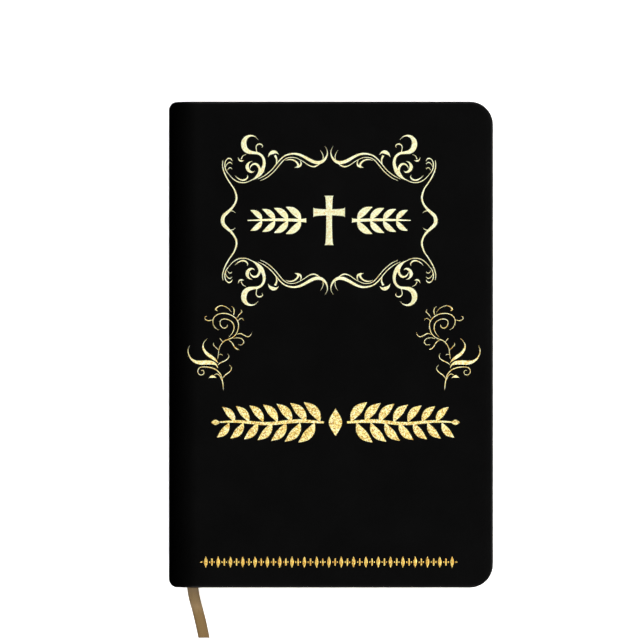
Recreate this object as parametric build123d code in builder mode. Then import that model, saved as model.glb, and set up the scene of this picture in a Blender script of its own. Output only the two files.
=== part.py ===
"""Bible: a soft leather-look cover over a sewn text block, lying closed on its back cover.

Millimetres. +X runs to the fore-edge, +Y to the head, +Z up through the front cover.
The origin is the middle of the footprint, on the surface that the book lies on.
"""

from build123d import *
import math
import os

os.makedirs("parts", exist_ok=True)

# ---- driving dimensions ----
COVER_W = 153.0
COVER_H = 229.0
BOOK_T = 32.0
COVER_T = 2.0
SKIN_T = 1.0
SPINE_BULGE = 14.0
FORE_CORNER_R = 11.5
SPINE_CORNER_R = 3.0
COVER_RIM_R = 0.7

HEAD_SQUARE = 4.5
FORE_SQUARE = 5.0
BLOCK_CORNER_R = 9.0
COVER_TO_BLOCK = 0.25
BACK_DEPTH = 11.5
FORE_HOLLOW = 4.0

JOINT_X = -69.0
JOINT_GAP = 0.4

LEAVES = 8
LEAVES_T = 0.4
FLYLEAF_T = 0.15
SHEET_GAP = 0.02
SIGNATURES_BELOW = 6
SIGNATURES_ABOVE = 16
RIBBON_Z = 9.0
RIBBON_GAP = 0.4

RIBBON_W = 5.0
RIBBON_T = 0.25

FOIL_T = 0.12

# ---- sizes that follow from them ----
LEFT = -COVER_W / 2
RIGHT = COVER_W / 2
HALF_H = COVER_H / 2
MID_Z = BOOK_T / 2
SPINE_CX = LEFT + SPINE_BULGE
BLOCK_HALF_H = HALF_H - HEAD_SQUARE
BLOCK_RIGHT = RIGHT - FORE_SQUARE
BLOCK_TOP = BOOK_T - COVER_T - COVER_TO_BLOCK
BLOCK_BOTTOM = COVER_T + COVER_TO_BLOCK
BLOCK_HALF_T = MID_Z - BLOCK_BOTTOM
COVER_LEFT = JOINT_X + JOINT_GAP
MID_PLANE = Plane.XY.offset(MID_Z)
WIDE = 2 * COVER_H


def save(piece, name):
    piece.label = name
    export_step(piece, f"parts/{name}.step")


def outline(inset=0.0):
    """Prism over the plan outline of the cover, pulled in by inset on every side."""
    with BuildPart() as prism:
        with BuildSketch(Plane.XY.offset(-BOOK_T)):
            with BuildLine():
                FilletPolyline(
                    (LEFT + inset, HALF_H - inset),
                    (RIGHT - inset, HALF_H - inset),
                    (RIGHT - inset, -HALF_H + inset),
                    (LEFT + inset, -HALF_H + inset),
                    radius=[
                        SPINE_CORNER_R,
                        FORE_CORNER_R - inset,
                        FORE_CORNER_R - inset,
                        SPINE_CORNER_R,
                    ],
                    close=True,
                )
            make_face()
        extrude(amount=3 * BOOK_T)
    return prism.part


def curve_parameter(x, depth):
    """Ellipse angle in degrees of the point at x on the upper back curve of this depth."""
    return math.degrees(math.acos((x - SPINE_CX) / depth))


def top_plate(z_low, z_high, left, inset):
    """Flat plate inside the cover's outline, between two heights."""
    with BuildPart() as plate:
        add(outline(inset))
        with Locations((left + WIDE / 2, 0, (z_low + z_high) / 2)):
            Box(WIDE, WIDE, z_high - z_low, mode=Mode.INTERSECT)
    return plate.part


def back_side(piece):
    """The same piece mirrored to the back half of the book."""
    with BuildPart() as mirrored:
        mirror(piece, about=MID_PLANE)
    return mirrored.part


# ---- covers: skin with a pocket, board in the pocket, endpaper pasted inside ----
BOARD_FROM_CURVE = 2.0
BOARD_LEFT = SPINE_CX + BOARD_FROM_CURVE
TURN_IN = 3.0
PASTEDOWN_T = 0.15

with BuildPart() as cover_skin:
    with BuildSketch(Plane.XZ):
        with BuildLine():
            outer = EllipticalCenterArc(
                (SPINE_CX, MID_Z),
                SPINE_BULGE,
                MID_Z,
                start_angle=90,
                arc_size=curve_parameter(COVER_LEFT, SPINE_BULGE) - 90,
            )
            inner = EllipticalCenterArc(
                (SPINE_CX, MID_Z),
                SPINE_BULGE - SKIN_T,
                MID_Z - SKIN_T,
                start_angle=90,
                arc_size=curve_parameter(COVER_LEFT, SPINE_BULGE - SKIN_T) - 90,
            )
            Line(outer @ 1, inner @ 1)
            Polyline(
                inner @ 0,
                (SPINE_CX, BOOK_T - COVER_T),
                (RIGHT, BOOK_T - COVER_T),
                (RIGHT, BOOK_T),
                outer @ 0,
            )
        make_face()
    extrude(amount=HALF_H, both=True)
    add(outline(), mode=Mode.INTERSECT)
    top_edges = cover_skin.edges().group_by(Axis.Z)[-1]
    rim = top_edges.filter_by(lambda edge: edge.center().X > SPINE_CX + BOARD_FROM_CURVE / 2)
    fillet(rim, radius=COVER_RIM_R)
    add(
        top_plate(BOOK_T - COVER_T, BOOK_T - SKIN_T, BOARD_LEFT, SKIN_T),
        mode=Mode.SUBTRACT,
    )
save(cover_skin.part, "front_cover_leather")
save(back_side(cover_skin.part), "back_cover_leather")

board = top_plate(BOOK_T - COVER_T, BOOK_T - SKIN_T, BOARD_LEFT, SKIN_T)
save(back_side(board), "back_cover_board")
save(board, "front_cover_board")

pastedown = top_plate(BOOK_T - COVER_T - PASTEDOWN_T, BOOK_T - COVER_T, SPINE_CX, TURN_IN)
save(back_side(pastedown), "back_pastedown")
save(pastedown, "front_pastedown")


# ---- spine: three curved layers between the two joints ----
def back_shell(outer_inset, inner_inset, half_length):
    """Layer of the rounded back, between two insets from the outer back curve."""
    with BuildPart() as shell:
        with BuildSketch(Plane.XZ):
            with Locations((SPINE_CX, MID_Z)):
                Ellipse(SPINE_BULGE - outer_inset, MID_Z - outer_inset)
                Ellipse(SPINE_BULGE - inner_inset, MID_Z - inner_inset, mode=Mode.SUBTRACT)
            with Locations((JOINT_X + WIDE / 2, MID_Z)):
                Rectangle(WIDE, WIDE, mode=Mode.SUBTRACT)
        extrude(amount=half_length, both=True)
    return shell.part


LINING_T = 0.5
MULL_T = 0.3
MULL_SHORT = 12.0
LINING_OUT = SKIN_T + SHEET_GAP
LINING_IN = LINING_OUT + LINING_T
MULL_OUT = LINING_IN + SHEET_GAP
MULL_IN = MULL_OUT + MULL_T
MULL_HALF = BLOCK_HALF_H - MULL_SHORT
CORD_FROM_JOINT = 1.2

with BuildPart() as spine_leather:
    add(back_shell(0.0, SKIN_T, HALF_H))
    add(outline(), mode=Mode.INTERSECT)
save(spine_leather.part, "spine_leather")
save(back_shell(LINING_OUT, LINING_IN, BLOCK_HALF_H), "spine_lining")
save(back_shell(MULL_OUT, MULL_IN, MULL_HALF), "mull")


def back_cord(inset, radius, y):
    """Round cord that follows the rounded back at one height along the spine."""
    first = curve_parameter(JOINT_X + CORD_FROM_JOINT, SPINE_BULGE - inset)
    with BuildPart() as cord:
        with BuildLine(Plane.XZ.offset(-y)) as back_line:
            EllipticalCenterArc(
                (SPINE_CX, MID_Z),
                SPINE_BULGE - inset,
                MID_Z - inset,
                start_angle=first,
                arc_size=2 * (180 - first),
            )
        with BuildSketch(Plane(origin=back_line.line @ 0, z_dir=back_line.line % 0)):
            Circle(radius)
        sweep(path=back_line.line)
    return cord.part


BAND_R = 1.1
BAND_INSET = MULL_IN + BAND_R
save(back_cord(BAND_INSET, BAND_R, BLOCK_HALF_H + BAND_R), "headband")
save(back_cord(BAND_INSET, BAND_R, -BLOCK_HALF_H - BAND_R), "tailband")

THREAD_R = 0.12
THREAD_INSET = MULL_IN + THREAD_R + SHEET_GAP
THREAD_STATIONS = [-84.0, -48.0, -12.0, 12.0, 48.0, 84.0]
threads = [back_cord(THREAD_INSET, THREAD_R, y) for y in THREAD_STATIONS]
save(Compound(children=threads), "sewing_thread")


# ---- text block: folded gatherings and loose leaves, each a plate at its own height ----
def folded_edge(z):
    """X of a sheet's folded edge at height z, on the rounded back of the block."""
    share = min(abs(z - MID_Z) / BLOCK_HALF_T, 1.0)
    return SPINE_CX - BACK_DEPTH * math.sqrt(1 - share**2)


def cut_edge(z):
    """X of a sheet's fore-edge at height z, on the hollow front of the block."""
    share = (z - MID_Z) / BLOCK_HALF_T
    return BLOCK_RIGHT - FORE_HOLLOW * (1 - share**2)


def sheets(z_low, z_high, left, fold_radius=0.0):
    """Stack of pages between two heights, with rounded fore-edge corners."""
    right = cut_edge((z_low + z_high) / 2)
    with BuildPart() as stack:
        with BuildSketch(Plane.XY.offset(z_low)) as page:
            with Locations(((left + right) / 2, 0)):
                Rectangle(right - left, 2 * BLOCK_HALF_H)
            fillet(page.vertices().group_by(Axis.X)[-1], radius=BLOCK_CORNER_R)
        extrude(amount=z_high - z_low)
        if fold_radius:
            fold = stack.faces().sort_by(Axis.X)[0].edges().filter_by(Axis.Y)
            fillet(fold, radius=fold_radius)
    return stack.part


# the leaves that turn with the front cover, from the top down
LEAF_FROM_COVER = 0.2
leaf_names = ["front_flyleaf", "title_leaf"]
leaf_names += [f"opening_leaves_{n}" for n in range(1, LEAVES + 1)]
leaf_heights = [FLYLEAF_T, FLYLEAF_T] + [LEAVES_T] * LEAVES
z_top = BLOCK_TOP
for name, height in zip(leaf_names, leaf_heights):
    z_low = z_top - height + SHEET_GAP
    left = max(folded_edge(z_top), COVER_LEFT + LEAF_FROM_COVER)
    save(sheets(z_low, z_top, left), name)
    z_top -= height

# the sewn signatures, from the bottom up, with room for the ribbon between two of them
back_flyleaf_top = BLOCK_BOTTOM + FLYLEAF_T
save(
    sheets(BLOCK_BOTTOM, back_flyleaf_top - SHEET_GAP, folded_edge(BLOCK_BOTTOM)),
    "back_flyleaf",
)

FOLD_R = 0.4
ribbon_floor = RIBBON_Z - RIBBON_GAP / 2
ribbon_roof = RIBBON_Z + RIBBON_GAP / 2
pitch_below = (ribbon_floor - back_flyleaf_top) / SIGNATURES_BELOW
pitch_above = (z_top - ribbon_roof) / SIGNATURES_ABOVE
lows = [back_flyleaf_top + n * pitch_below for n in range(SIGNATURES_BELOW)]
lows += [ribbon_roof + n * pitch_above for n in range(SIGNATURES_ABOVE)]
pitches = [pitch_below] * SIGNATURES_BELOW + [pitch_above] * SIGNATURES_ABOVE
for number, (z_low, pitch) in enumerate(zip(lows, pitches), start=1):
    z_high = z_low + pitch - SHEET_GAP
    furthest = z_high if z_high > MID_Z else z_low
    stack = sheets(z_low, z_high, folded_edge(furthest), FOLD_R)
    save(stack, f"signature_{number:02d}")


# ---- ribbon marker: a flat strip that loops over the head, lies between the pages at
# ---- RIBBON_Z and droops from the tail to the surface
ribbon_route = [
    (-67.0, 110.2, 17.0),
    (-67.0, 113.6, 16.4),
    (-67.0, 113.9, 9.6),
    (-67.0, 111.4, 9.0),
    (-67.3, 104.0, 9.0),
    (-67.9, 86.0, 9.0),
    (-68.0, 46.0, 9.0),
    (-66.6, -8.0, 9.0),
    (-66.8, -60.0, 9.0),
    (-65.9, -88.0, 9.0),
    (-65.8, -100.0, 9.0),
    (-65.6, -112.0, 9.0),
    (-65.3, -117.2, 6.6),
    (-64.7, -121.6, 2.8),
    (-63.6, -126.4, 0.4),
    (-62.1, -131.8, 0.3),
    (-60.3, -139.3, 0.3),
]


def corner_radius(before, corner, after):
    """Arc radius at a corner: 0.45 of the shorter run over the tangent of half the turn."""
    run_in = Vector(*corner) - Vector(*before)
    run_out = Vector(*after) - Vector(*corner)
    turn = math.radians(run_in.get_angle(run_out))
    return 0.45 * min(run_in.length, run_out.length) / math.tan(turn / 2)


radii = [corner_radius(*ribbon_route[n : n + 3]) for n in range(len(ribbon_route) - 2)]
print("ribbon radii", [round(r, 1) for r in radii])

with BuildPart() as ribbon:
    with BuildLine() as ribbon_line:
        FilletPolyline(*ribbon_route, radius=radii)
    start = ribbon_line.line @ 0
    with BuildSketch(Plane(origin=start, x_dir=(1, 0, 0), z_dir=ribbon_line.line % 0)):
        Rectangle(RIBBON_W, RIBBON_T)
    sweep(path=ribbon_line.line, transition=Transition.RIGHT)
ribbon_length = ribbon_line.wire().length
strip = RIBBON_W * RIBBON_T * ribbon_length
print("ribbon length", round(ribbon_length, 1), "volume share", ribbon.part.volume / strip)
save(ribbon.part, "ribbon_marker")


# ---- gold foil on the front cover ----
def leaf_shape(length, width):
    """Pointed leaf along +X from the origin."""
    with BuildSketch(mode=Mode.PRIVATE) as shape:
        with BuildLine():
            ThreePointArc((0, 0), (length / 2, width / 2), (length, 0))
            ThreePointArc((length, 0), (length / 2, -width / 2), (0, 0))
        make_face()
    return shape.sketch


def stroke(points, width):
    """Foil line of even width along a smooth curve."""
    with BuildSketch(mode=Mode.PRIVATE) as line:
        with BuildLine():
            Spline(*points)
        trace(line_width=width)
    return line.sketch


# title frame: one quadrant of scrolls, mirrored both ways about the frame's centre
FRAME_CENTRE = (-1.2, 58.5)
frame_strokes = [
    ([(2.0, 36.5), (8.5, 33.0), (17.5, 35.5), (26.0, 30.5), (31.5, 25.5)], 1.4),
    ([(31.5, 25.5), (38.5, 26.0), (39.5, 33.5), (34.5, 35.5), (33.0, 31.5)], 1.8),
    ([(39.5, 33.5), (37.0, 38.8), (30.5, 38.5), (29.5, 35.0)], 1.6),
    ([(38.5, 26.0), (46.5, 25.5), (48.5, 19.0), (43.5, 12.0), (46.5, 4.5), (51.0, 0.0)], 1.4),
]
with BuildPart() as title_frame:
    with BuildSketch(Plane(origin=(*FRAME_CENTRE, BOOK_T))) as quadrant:
        for points, width in frame_strokes:
            add(stroke(points, width))
        mirror(about=Plane.YZ)
        mirror(about=Plane.XZ)
    extrude(amount=FOIL_T)
save(title_frame.part, "title_frame_foil")

# cross with a pointed rule on each side
CROSS_H = 23.0
CROSS_W = 14.5
CROSS_BAR = 3.0
CROSS_ARM_Y = 3.8
RULE_START = 12.0
RULE_LENGTH = 26.0
RULE_W = 2.4
with BuildPart() as cross:
    with BuildSketch(Plane(origin=(*FRAME_CENTRE, BOOK_T))):
        Rectangle(CROSS_BAR, CROSS_H)
        with Locations((0, CROSS_ARM_Y)):
            Rectangle(CROSS_W, CROSS_BAR)
        add(leaf_shape(RULE_LENGTH, RULE_W).moved(Location((RULE_START, 0))))
        add(leaf_shape(RULE_LENGTH, RULE_W).moved(Location((-RULE_START - RULE_LENGTH, 0))))
    extrude(amount=FOIL_T)
save(cross.part, "cross_foil")

# vine sprays: stem, two outer blades, ring; the sprays mirror about VINE_MIRROR_X
VINE_MIRROR_X = 1.0
VINE_FOOT = (-51.0, -21.0)
with BuildSketch() as spray:
    with Locations(VINE_FOOT):
        add(stroke([(0, 0), (-3.0, 10.0), (-1.0, 20.0), (4.0, 30.0), (9.5, 34.0)], 1.3))
        add(leaf_shape(17.0, 5.0).moved(Location((-2.0, 13.0), 128)))
        add(leaf_shape(15.0, 4.6).moved(Location((-1.0, 20.0), 108)))
        add(leaf_shape(11.0, 3.6).moved(Location((-2.0, 6.0), 62)))
        add(stroke([(4.0, 30.0), (1.0, 35.5), (-4.0, 33.5), (-3.0, 28.5), (0.5, 29.0)], 1.3))
with BuildPart() as vine:
    with BuildSketch(Plane.XY.offset(MID_Z)):
        add(spray.sketch)
    extrude(amount=BOOK_T)
    with BuildSketch(Plane.XZ) as foil_section:
        with BuildLine():
            low = EllipticalCenterArc(
                (SPINE_CX, MID_Z),
                SPINE_BULGE,
                MID_Z,
                start_angle=90,
                arc_size=curve_parameter(COVER_LEFT, SPINE_BULGE) - 90,
            )
            high = EllipticalCenterArc(
                (SPINE_CX, MID_Z),
                SPINE_BULGE,
                MID_Z + FOIL_T,
                start_angle=90,
                arc_size=curve_parameter(COVER_LEFT, SPINE_BULGE) - 90,
            )
            Line(low @ 1, high @ 1)
            Polyline(low @ 0, (0, BOOK_T), (0, BOOK_T + FOIL_T), high @ 0)
        make_face()
    extrude(amount=HALF_H, both=True, mode=Mode.INTERSECT)
save(vine.part, "vine_left_foil")
with BuildPart() as right_vine:
    with BuildSketch(Plane.XY.offset(BOOK_T)):
        add(spray.sketch)
    extrude(amount=FOIL_T)
    mirror(about=Plane.YZ.offset(VINE_MIRROR_X), mode=Mode.REPLACE)
save(right_vine.part, "vine_right_foil")

# branch band: two leafy branches that meet at a lozenge
BAND_CENTRE = (2.3, -36.5)
BAND_HALF = 56.0
LEAF_PAIRS = 6
LEAF_PITCH = 8.2
with BuildPart() as branch_band:
    with BuildSketch(Plane(origin=(*BAND_CENTRE, BOOK_T))):
        add(leaf_shape(BAND_HALF - 6.0, 1.8).moved(Location((6.0, 0))))
        for n in range(LEAF_PAIRS):
            root = 9.0 + n * LEAF_PITCH
            length = 11.5 - 0.6 * n
            add(leaf_shape(length, 4.4).moved(Location((root, 0), 52)))
            add(leaf_shape(length, 4.4).moved(Location((root + 1.5, 0), -52)))
        mirror(about=Plane.YZ)
        RegularPolygon(4.6, 4)
    extrude(amount=FOIL_T)
save(branch_band.part, "branch_band_foil")

# lower border: a thin row of lozenges and dots
BORDER_CENTRE = (-0.8, -102.4)
BORDER_PITCH = 7.0
BORDER_STEPS = 8
with BuildPart() as lower_border:
    with BuildSketch(Plane(origin=(*BORDER_CENTRE, BOOK_T))):
        for n in range(-BORDER_STEPS, BORDER_STEPS + 1):
            add(leaf_shape(4.6, 2.4).moved(Location((n * BORDER_PITCH - 2.3, 0))))
        for n in range(-BORDER_STEPS, BORDER_STEPS):
            with Locations(((n + 0.5) * BORDER_PITCH, 0)):
                Circle(0.6)
    extrude(amount=FOIL_T)
save(lower_border.part, "lower_border_foil")
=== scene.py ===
"""Looks of a closed soft-cover bible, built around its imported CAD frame.

Metres, in the row frame: +X runs to the fore-edge, +Y to the head, +Z up through the front
cover. The book lies on its back cover, and the camera looks straight down at the front.
"""

import math
import random

import bmesh
import bpy
import numpy as np
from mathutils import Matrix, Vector


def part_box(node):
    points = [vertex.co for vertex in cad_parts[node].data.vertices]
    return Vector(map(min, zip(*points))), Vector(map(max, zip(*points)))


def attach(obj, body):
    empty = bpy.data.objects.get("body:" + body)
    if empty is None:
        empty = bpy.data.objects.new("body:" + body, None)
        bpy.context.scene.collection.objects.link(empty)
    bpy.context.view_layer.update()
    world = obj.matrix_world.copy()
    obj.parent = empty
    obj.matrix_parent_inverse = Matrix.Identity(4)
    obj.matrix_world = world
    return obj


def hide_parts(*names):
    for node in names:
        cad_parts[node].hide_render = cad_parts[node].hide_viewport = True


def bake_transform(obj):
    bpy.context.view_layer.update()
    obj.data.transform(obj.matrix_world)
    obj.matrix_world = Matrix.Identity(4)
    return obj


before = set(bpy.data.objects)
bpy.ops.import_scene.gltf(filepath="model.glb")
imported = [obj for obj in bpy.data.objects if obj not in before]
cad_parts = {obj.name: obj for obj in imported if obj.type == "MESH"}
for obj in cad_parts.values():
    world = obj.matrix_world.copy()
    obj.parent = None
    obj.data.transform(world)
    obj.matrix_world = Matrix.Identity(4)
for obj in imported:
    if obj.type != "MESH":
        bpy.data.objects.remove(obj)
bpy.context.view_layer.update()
MM = 0.001

# ---- places that come from the frame ----
skin_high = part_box("front_cover_leather")[1]
page_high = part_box("signature_13")[1]
flyleaf_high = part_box("front_flyleaf")[1]
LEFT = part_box("spine_leather")[0].x
RIGHT = skin_high.x
HALF_H = skin_high.y
TOP = skin_high.z
MID = TOP / 2
HALF_PAGE = page_high.y
BLOCK_TOP = flyleaf_high.z
BLOCK_HALF_T = BLOCK_TOP - MID
BLOCK_RIGHT = flyleaf_high.x

# ---- driving sizes of the looks ----
SPINE_DEPTH = 14 * MM
CURVE_X = LEFT + SPINE_DEPTH
BACK_DEPTH = 11.5 * MM
FORE_HOLLOW = 4 * MM
COVER_R = 10.9 * MM
SPINE_R = 3 * MM
PAGE_R = 9 * MM
SKIN_T = 2.03 * MM
ROLL_R = 0.95 * MM
FOIL_H = 0.09 * MM
PRESS_H = 0.02 * MM
SPINE_END_REACH = 14 * MM
PASTEDOWN_INSET = 4.3 * MM
PASTEDOWN_T = 0.12 * MM
PASTEDOWN_GAP = 0.02 * MM
PASTEDOWN_SINK = 0.03 * MM
PASTEDOWN_FROM = 126
PAGE_GROOVE = 0.035 * MM
PAGE_SCATTER = 0.03 * MM
BAND_INSET = 2.95 * MM
BAND_R = 0.85 * MM
BAND_FROM = 124
BAND_SWEEP = 112


# ---- mesh helpers ----
def mesh_object(name, verts, faces, materials, slots=None, smooth=True, tidy=False):
    """New object from vertices and faces; slots gives each face's material number."""
    mesh = bpy.data.meshes.new(name)
    mesh.from_pydata([tuple(v) for v in verts], [], faces)
    for material in materials:
        mesh.materials.append(material)
    if slots is not None:
        mesh.polygons.foreach_set("material_index", slots)
    if tidy:
        work = bmesh.new()
        work.from_mesh(mesh)
        bmesh.ops.recalc_face_normals(work, faces=work.faces)
        work.to_mesh(mesh)
        work.free()
    mesh.polygons.foreach_set("use_smooth", [smooth] * len(mesh.polygons))
    mesh.update()
    made = bpy.data.objects.new(name, mesh)
    bpy.context.scene.collection.objects.link(made)
    return made


def sharpen(piece, degrees):
    """Keeps edges sharper than this angle crisp under smooth shading."""
    piece.data.set_sharp_from_angle(angle=math.radians(degrees))


def set_uvs(piece, uvs):
    """Gives the piece one UV pair per vertex."""
    layer = piece.data.uv_layers.new(name="UVMap")
    for loop in piece.data.loops:
        layer.data[loop.index].uv = uvs[loop.vertex_index]


def border(width, tall, offset=0):
    """Vertex numbers round the edge of a grid, from its first corner along its first row."""
    loop = [offset + i for i in range(width)]
    loop += [offset + j * width + width - 1 for j in range(1, tall)]
    loop += [offset + (tall - 1) * width + i for i in range(width - 2, -1, -1)]
    loop += [offset + j * width for j in range(tall - 2, 0, -1)]
    return loop


def tube_faces(start, count, size):
    """Side and end faces of a tube of count rings of size vertices each."""
    faces = []
    for k in range(count - 1):
        for n in range(size):
            a, b = start + k * size + n, start + k * size + (n + 1) % size
            faces.append((a, b, b + size, a + size))
    faces.append(tuple(range(start, start + size)))
    last = start + count * size - 1
    faces.append(tuple(range(last, last - size, -1)))
    return faces


def ease(t):
    """Smooth step from 0 to 1."""
    t = min(max(t, 0.0), 1.0)
    return t * t * (3 - 2 * t)


# ---- shader helpers ----
def new_material(name):
    """New material with its node tree and main shader."""
    material = bpy.data.materials.new(name)
    material.use_nodes = True
    tree = material.node_tree
    shader = tree.nodes["Principled BSDF"]
    return material, tree, shader


def node(tree, kind, inputs=None, **settings):
    """New node; an input is a plain value or another node's socket."""
    made = tree.nodes.new(kind)
    for key, value in settings.items():
        setattr(made, key, value)
    for key, value in (inputs or {}).items():
        if isinstance(value, bpy.types.NodeSocket):
            tree.links.new(value, made.inputs[key])
        else:
            made.inputs[key].default_value = value
    return made


def place(tree, scale=(1, 1, 1)):
    """Object coordinates stretched by scale, as a socket."""
    where = node(tree, "ShaderNodeTexCoord").outputs["Object"]
    return node(tree, "ShaderNodeMapping", {"Vector": where, "Scale": scale}).outputs["Vector"]


def noise(tree, vector, scale, detail=3.0, roughness=0.55):
    """Noise from 0 to 1, as a socket."""
    inputs = {"Vector": vector, "Scale": scale, "Detail": detail, "Roughness": roughness}
    return node(tree, "ShaderNodeTexNoise", inputs).outputs["Fac"]


def ramp(tree, factor, stops):
    """Colour ramp from (position, colour) stops."""
    made = node(tree, "ShaderNodeValToRGB", {"Fac": factor})
    elements = made.color_ramp.elements
    while len(elements) < len(stops):
        elements.new(0.5)
    for element, (position, colour) in zip(elements, stops):
        element.position = position
        element.color = (*colour, 1)
    return made.outputs["Color"]


def spread(tree, factor, low, high):
    """A 0 to 1 value spread over low to high."""
    inputs = {"Value": factor, "To Min": low, "To Max": high}
    return node(tree, "ShaderNodeMapRange", inputs).outputs["Result"]


def blend_values(tree, first, second, share):
    """Mixes two values; share is the part of the second."""
    return maths(tree, "ADD", maths(tree, "MULTIPLY", first, 1 - share),
                 maths(tree, "MULTIPLY", second, share))


def maths(tree, operation, first, second=0.0):
    """One arithmetic step, as a socket."""
    made = node(tree, "ShaderNodeMath", {0: first, 1: second}, operation=operation)
    return made.outputs["Value"]


def bump(tree, height, strength, distance, normal=None):
    """Normal from a height, on top of another normal if there is one."""
    inputs = {"Height": height, "Strength": strength, "Distance": distance}
    if normal is not None:
        inputs["Normal"] = normal
    return node(tree, "ShaderNodeBump", inputs).outputs["Normal"]


# ---- materials ----
LEATHER_DARK = (0.0009, 0.0009, 0.0009)
LEATHER_LIGHT = (0.0012, 0.0012, 0.0012)
LEATHER_SHINE = 0.093
FLOOR_GLOW = 0.55
BACKDROP_GLOW = 1.08


def leather_material():
    """Black imitation leather: fine pebbled grain, soft creases, a low, uneven sheen and painted shade
    over the rounded back.
    """
    material, tree, shader = new_material("black_leatherette")
    where = place(tree)
    pebbles = node(tree, "ShaderNodeTexVoronoi", {"Vector": where, "Scale": 1300.0, "Randomness": 0.9},
                   feature="DISTANCE_TO_EDGE").outputs["Distance"]
    grooves = spread(tree, pebbles, 0.0, 1.0)
    fine = noise(tree, where, 5200.0, 2.0)
    broad = noise(tree, where, 45.0, 4.0)
    grain = maths(tree, "ADD", maths(tree, "MINIMUM", grooves, 0.22),
                  maths(tree, "MULTIPLY", fine, 0.05))
    swells = noise(tree, where, 420.0, 3.0)
    soft = bump(tree, swells, 0.3, 0.00025)
    tree.links.new(bump(tree, grain, 0.35, 0.0001, soft), shader.inputs["Normal"])
    dye = ramp(tree, broad, [(0.3, LEATHER_DARK), (0.7, LEATHER_LIGHT)])
    # painted shade: the base colour fades to black over the rounded back towards the spine edge, where
    # the leather turns away from the lamps
    along = node(tree, "ShaderNodeSeparateXYZ", {"Vector": where}).outputs["X"]
    painted_spine_shade = node(tree, "ShaderNodeMapRange", {"Value": along, "From Min": LEFT,
                         "From Max": CURVE_X, "To Min": 0.0, "To Max": 1.0}).outputs["Result"]
    colour = node(tree, "ShaderNodeVectorMath", {0: dye, "Scale": painted_spine_shade}, operation="SCALE")
    tree.links.new(colour.outputs["Vector"], shader.inputs["Base Color"])
    tree.links.new(spread(tree, broad, 0.35, 0.41), shader.inputs["Roughness"])
    shader.inputs["Specular IOR Level"].default_value = LEATHER_SHINE
    return material


def press_material():
    """Leather pressed flat around the foil: blacker and smoother than the grain."""
    material, tree, shader = new_material("pressed_leather")
    patches = noise(tree, place(tree), 700.0, 2.0)
    colour = ramp(tree, patches, [(0.3, (0.0, 0.0, 0.0)), (0.7, (0.0012, 0.0012, 0.0012))])
    tree.links.new(colour, shader.inputs["Base Color"])
    tree.links.new(spread(tree, patches, 0.6, 0.8), shader.inputs["Roughness"])
    shader.inputs["Specular IOR Level"].default_value = 0.08
    return material


def foil_material(name, stops, metal, rough, patch_scale, painted_glint_share, glitter_scale):
    """Hot-stamped foil: patchy gold with small facets that catch the light, and painted glints as
    brighter and darker cells in its colour.
    """
    material, tree, shader = new_material(name)
    where = place(tree)
    patches = noise(tree, where, patch_scale, 4.0, 0.65)
    flecks = node(tree, "ShaderNodeTexVoronoi", {"Vector": where, "Scale": glitter_scale})
    level = node(tree, "ShaderNodeSeparateColor", {"Color": flecks.outputs["Color"]}).outputs["Red"]
    # painted glints: each cell's brightness goes into the colour as well as into the bump and roughness
    mixed = blend_values(tree, patches, level, painted_glint_share)
    tree.links.new(ramp(tree, mixed, stops), shader.inputs["Base Color"])
    tree.links.new(spread(tree, level, rough[0], rough[1]), shader.inputs["Roughness"])
    tree.links.new(bump(tree, mixed, 0.25, 0.00006), shader.inputs["Normal"])
    shader.inputs["Metallic"].default_value = metal
    return material


def paper_material(name, stops, rough=0.85):
    """Thin uncoated paper with faint fibres and clouding."""
    material, tree, shader = new_material(name)
    where = place(tree)
    clouds = noise(tree, where, 160.0, 4.0)
    fibres = noise(tree, place(tree, (900.0, 2600.0, 2600.0)), 1.0, 2.0)
    tree.links.new(ramp(tree, clouds, stops), shader.inputs["Base Color"])
    tree.links.new(bump(tree, fibres, 0.12, 0.00004), shader.inputs["Normal"])
    tree.links.new(spread(tree, clouds, rough - 0.05, rough + 0.05), shader.inputs["Roughness"])
    shader.inputs["Specular IOR Level"].default_value = 0.25
    return material


def gilt_material():
    """Gilded page edges: gold leaf over the ends of thin pages, with darker gaps."""
    material, tree, shader = new_material("gilt_page_edges")
    leaves = noise(tree, place(tree, (25.0, 25.0, 14000.0)), 1.0, 4.0, 0.75)
    wear_and_painted_shade = noise(tree, place(tree), 160.0, 3.0)
    mixed = blend_values(tree, leaves, wear_and_painted_shade, 0.15)
    colour = ramp(tree, mixed, [(0.3, (0.3, 0.16, 0.035)), (0.48, (0.78, 0.54, 0.19)),
                                (0.68, (0.95, 0.76, 0.38))])
    tree.links.new(colour, shader.inputs["Base Color"])
    tree.links.new(spread(tree, leaves, 0.24, 0.46), shader.inputs["Roughness"])
    tree.links.new(bump(tree, leaves, 0.25, 0.00005), shader.inputs["Normal"])
    shader.inputs["Metallic"].default_value = 0.6
    return material


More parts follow.
